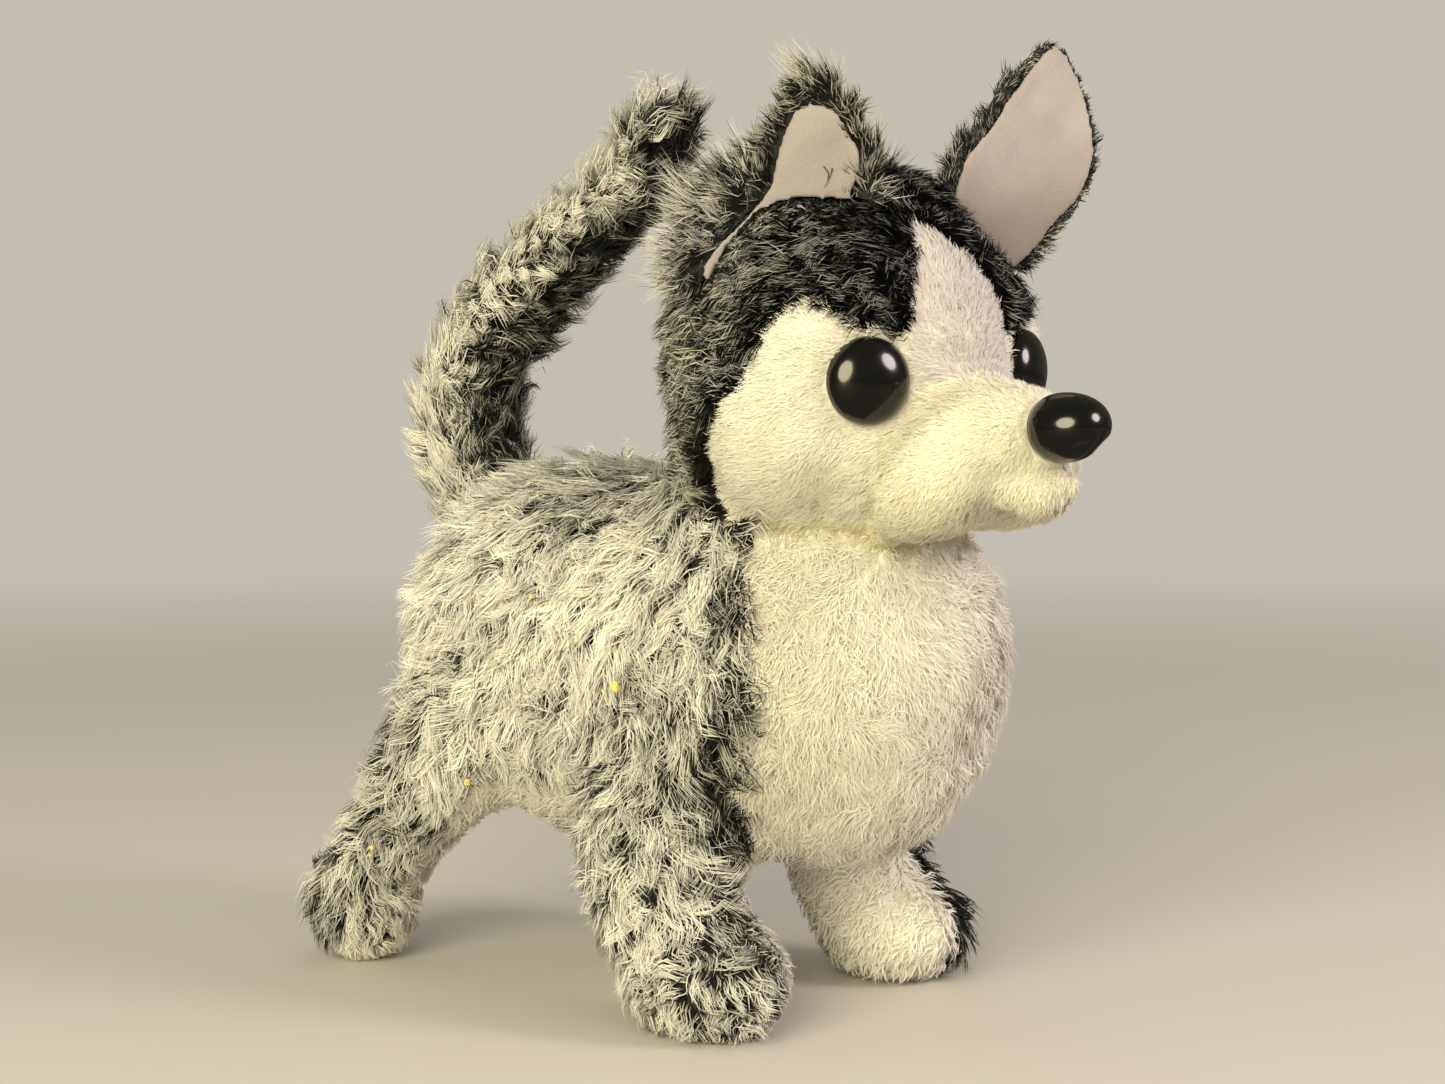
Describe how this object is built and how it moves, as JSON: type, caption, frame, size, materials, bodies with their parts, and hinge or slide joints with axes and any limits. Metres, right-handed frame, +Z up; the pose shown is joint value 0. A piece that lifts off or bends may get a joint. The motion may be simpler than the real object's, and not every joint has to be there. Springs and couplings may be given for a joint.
{
  "type": "plush husky",
  "caption": "Stuffed plush husky pup standing in mid-step, with frosted grey fur, a white face and bib, upright ears, a raised tail and glossy black eyes and nose.",
  "frame": {"origin": "centre of the bounding box at the floor the soles stand on", "axes": "+Z up; the pup faces -Y and its own left side is +X"},
  "size_m": [0.0994, 0.198, 0.2086],
  "materials": {
    "frosted_grey_plush": "long pile polyester plush, charcoal roots and cream tips",
    "white_plush": "short pile polyester plush",
    "cream_plush": "very short pile polyester plush",
    "dark_plush": "short pile polyester plush, near black",
    "ear_velvet": "brushed velvet knit",
    "fibre_filling": "loose polyester fibre",
    "black_plastic": "moulded, high gloss",
    "washer_plastic": "moulded, matt"
  },
  "bodies": {
    "root": {"blaze": "white_plush", "cheek_left": "white_plush", "cheek_right": "white_plush", "chest_bib": "white_plush", "chin": "cream_plush", "crown_left": "dark_plush", "crown_right": "dark_plush", "ear_lining_left": "ear_velvet", "ear_lining_right": "ear_velvet", "ear_outer_left": "frosted_grey_plush", "ear_outer_right": "frosted_grey_plush", "eye_left": "black_plastic", "eye_left_washer": "washer_plastic", "eye_right": "black_plastic", "eye_right_washer": "washer_plastic", "head_back_left": "frosted_grey_plush", "head_back_right": "frosted_grey_plush", "muzzle": "cream_plush", "nose": "black_plastic", "nose_washer": "washer_plastic", "side_panel_left": "frosted_grey_plush", "side_panel_right": "frosted_grey_plush", "stuffing": "fibre_filling", "tail_skin": "frosted_grey_plush", "underbody_left": "white_plush", "underbody_right": "white_plush"}
  },
  "joints": []
}
